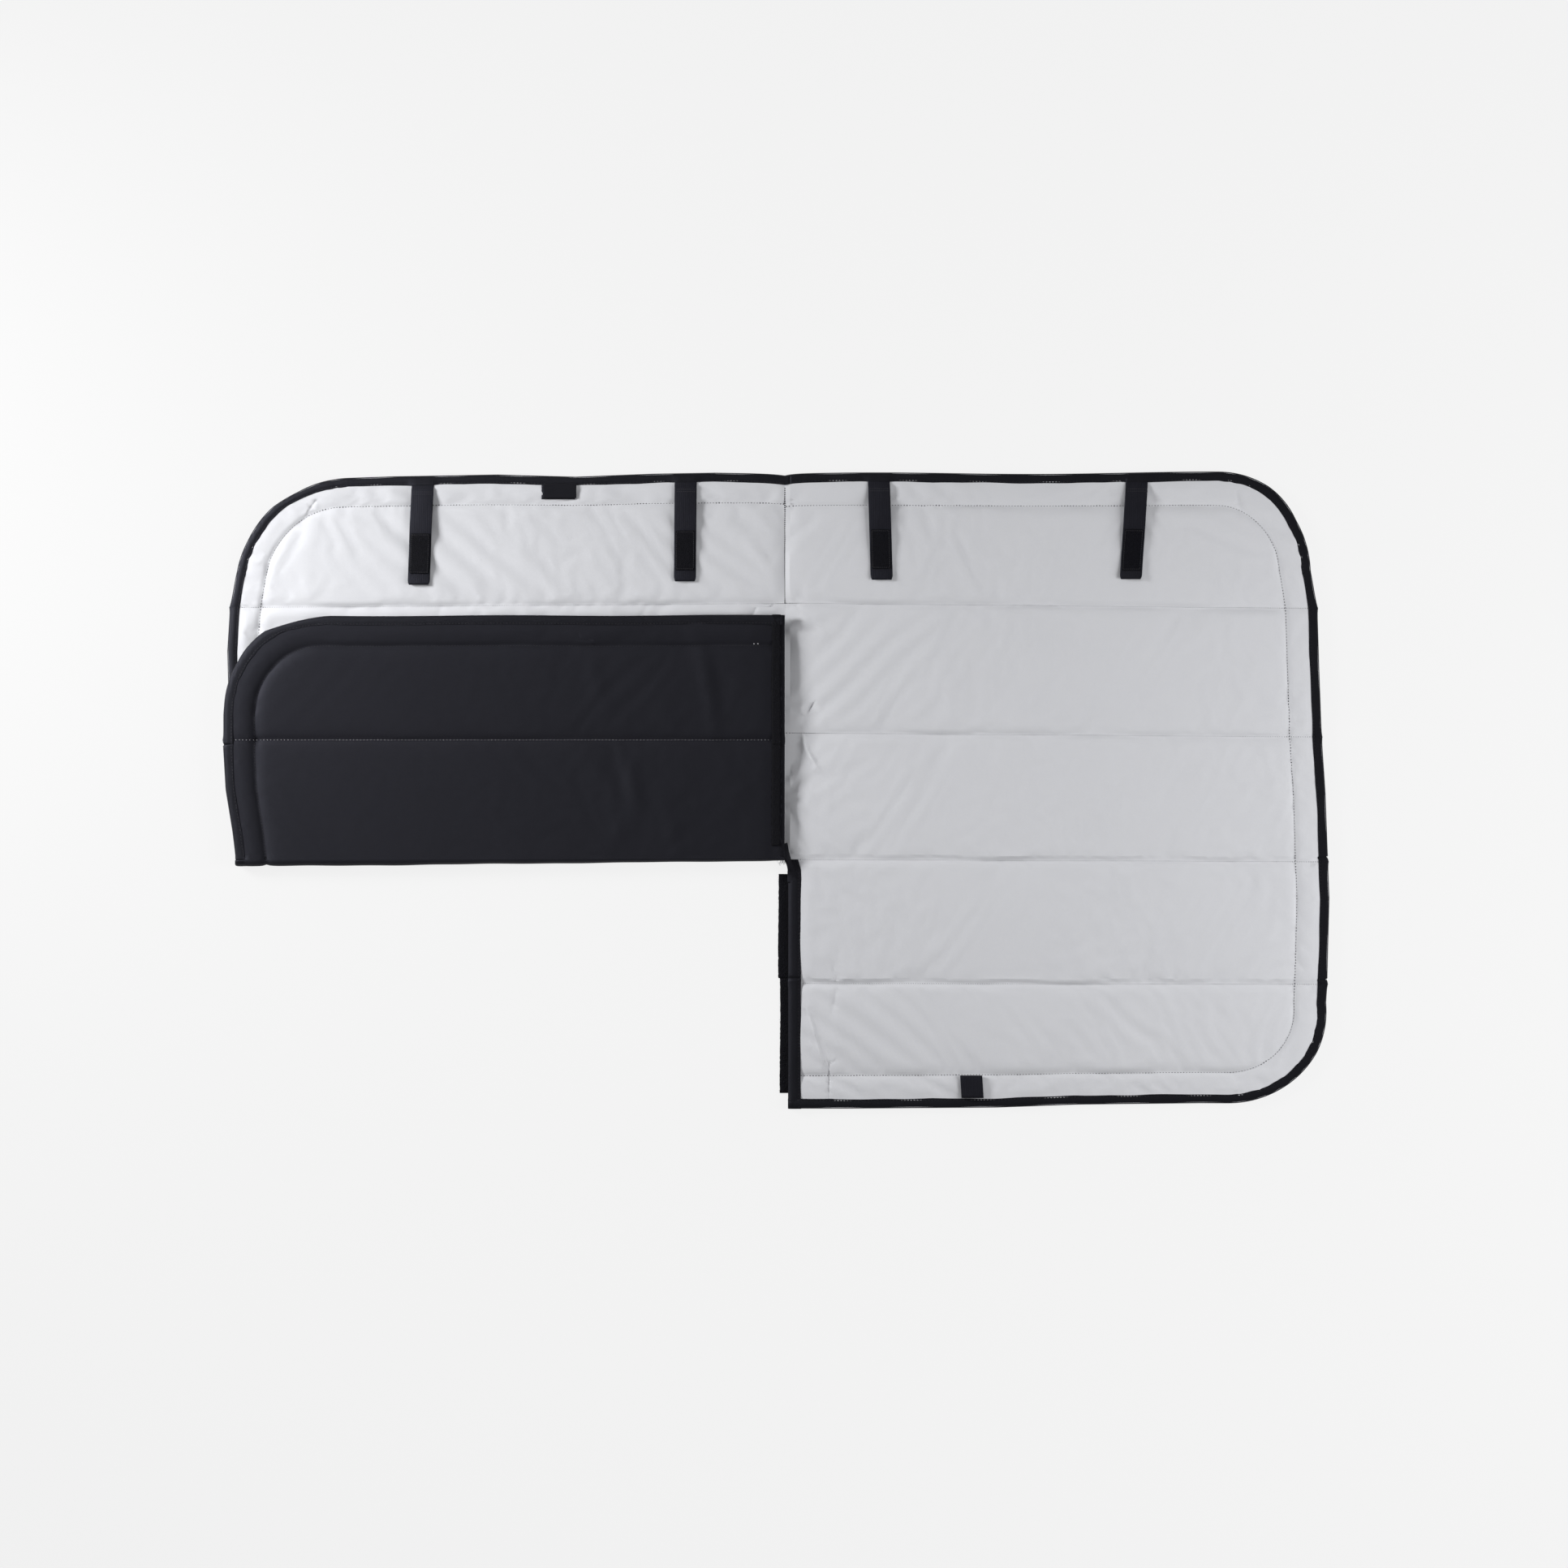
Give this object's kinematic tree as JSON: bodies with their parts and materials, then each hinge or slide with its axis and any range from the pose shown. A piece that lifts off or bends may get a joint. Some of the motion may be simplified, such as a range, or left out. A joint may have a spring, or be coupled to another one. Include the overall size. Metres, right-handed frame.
{
  "type": "folding insulated window cover",
  "caption": "Quilted two-leaf insulating window cover with bound edges, hanging webbing straps, hem magnets and lower parts that fold up behind hook-and-loop strips.",
  "frame": {"origin": "centre of the flat cover's footprint, on the surface that its back lies on", "axes": "+Z out of the light face, +Y towards the edge with the straps, +X towards the right leaf seen from the face"},
  "size_m": [1.232, 0.717, 0.019],
  "materials": {
    "face_fabric": "matt light grey coated polyester plain weave",
    "back_fabric": "soft charcoal polyester plain weave",
    "batting": "white needled polyester felt",
    "binding_tape": "matt black grosgrain tape",
    "webbing": "black woven polypropylene webbing",
    "hook_tape": "black hook tape",
    "loop_tape": "black napped loop tape",
    "magnet": "nickel plated bar magnet",
    "label": "black woven satin ribbon with no lettering",
    "light_thread": "light grey polyester thread",
    "dark_thread": "black polyester thread"
  },
  "bodies": {
    "right_upper": {"right_upper_face": "face_fabric", "right_upper_back": "back_fabric", "right_upper_batting": "batting", "right_upper_binding": "binding_tape", "right_upper_magnets": "magnet"},
    "left_upper": {"left_upper_face": "face_fabric", "left_upper_back": "back_fabric", "left_upper_batting": "batting", "left_upper_binding": "binding_tape", "left_upper_magnets": "magnet", "left_fold_web": "back_fabric"},
    "left_middle": {"left_middle_face": "face_fabric", "left_middle_back": "back_fabric", "left_middle_batting": "batting", "left_middle_binding": "binding_tape", "left_middle_magnets": "magnet", "left_middle_loop_strip": "loop_tape"},
    "left_bottom": {"left_bottom_face": "face_fabric", "left_bottom_back": "back_fabric", "left_bottom_batting": "batting", "left_bottom_binding": "binding_tape", "left_bottom_magnets": "magnet", "left_bottom_loop_strip": "loop_tape", "left_hem_tab": "webbing"},
    "right_middle": {"right_middle_face": "face_fabric", "right_middle_back": "back_fabric", "right_middle_batting": "batting", "right_middle_binding": "binding_tape", "right_middle_magnets": "magnet", "right_middle_hook_strip": "hook_tape"},
    "right_bottom": {"right_bottom_face": "face_fabric", "right_bottom_back": "back_fabric", "right_bottom_batting": "batting", "right_bottom_binding": "binding_tape", "right_bottom_magnets": "magnet", "right_bottom_hook_strip": "hook_tape"},
    "strap_1": {"strap_1_webbing": "webbing", "strap_1_hook_patch": "hook_tape"},
    "strap_2": {"strap_2_webbing": "webbing", "strap_2_hook_patch": "hook_tape"},
    "strap_3": {"strap_3_webbing": "webbing", "strap_3_hook_patch": "hook_tape"},
    "strap_4": {"strap_4_webbing": "webbing", "strap_4_hook_patch": "hook_tape"},
    "right_hem_tab": {"right_hem_tab": "webbing"},
    "label": {"woven_label": "label"}
  },
  "joints": [
    {"name": "left_flap_fold", "type": "hinge", "parent": "left_upper", "child": "left_middle", "pos_m": [-0.311, -0.0785, 0.0095], "axis": [1, 0, 0], "range_deg": [0, 180], "deforming": ["left_fold_web"]},
    {"name": "right_flap_fold", "type": "hinge", "parent": "right_upper", "child": "right_middle", "pos_m": [0.311, -0.0785, 0.0095], "axis": [-1, 0, 0], "range_deg": [0, 180]},
    {"name": "centre_fold", "type": "hinge", "parent": "right_upper", "child": "left_upper", "pos_m": [0, 0.14, 0.014], "axis": [0, 1, 0], "range_deg": [0, 180]},
    {"name": "left_bottom_band_fold", "type": "hinge", "parent": "left_middle", "child": "left_bottom", "pos_m": [-0.311, 0.0615, 0.0205], "axis": [-1, 0, 0], "range_deg": [-165, 0]},
    {"name": "right_bottom_band_fold", "type": "hinge", "parent": "right_middle", "child": "right_bottom", "pos_m": [0.311, -0.2185, 0.0095], "axis": [1, 0, 0], "range_deg": [-165, 0]},
    {"name": "strap_1_lift", "type": "hinge", "parent": "left_upper", "child": "strap_1", "pos_m": [-0.409, 0.3465, 0.0091], "axis": [1, 0, 0], "range_deg": [-160, 0]},
    {"name": "strap_2_lift", "type": "hinge", "parent": "left_upper", "child": "strap_2", "pos_m": [-0.112, 0.3465, 0.0091], "axis": [1, 0, 0], "range_deg": [-160, 0]},
    {"name": "strap_3_lift", "type": "hinge", "parent": "right_upper", "child": "strap_3", "pos_m": [0.106, 0.3465, 0.0091], "axis": [1, 0, 0], "range_deg": [-160, 0]},
    {"name": "strap_4_lift", "type": "hinge", "parent": "right_upper", "child": "strap_4", "pos_m": [0.398, 0.3465, 0.0091], "axis": [1, 0, 0], "range_deg": [-160, 0]},
    {"name": "right_hem_tab_lift", "type": "hinge", "parent": "right_bottom", "child": "right_hem_tab", "pos_m": [0.212, -0.3465, 0.0093], "axis": [-1, 0, 0], "range_deg": [-110, 0]},
    {"name": "label_lift", "type": "hinge", "parent": "left_upper", "child": "label", "pos_m": [-0.256, 0.3465, 0.0087], "axis": [1, 0, 0], "range_deg": [-110, 0]}
  ]
}
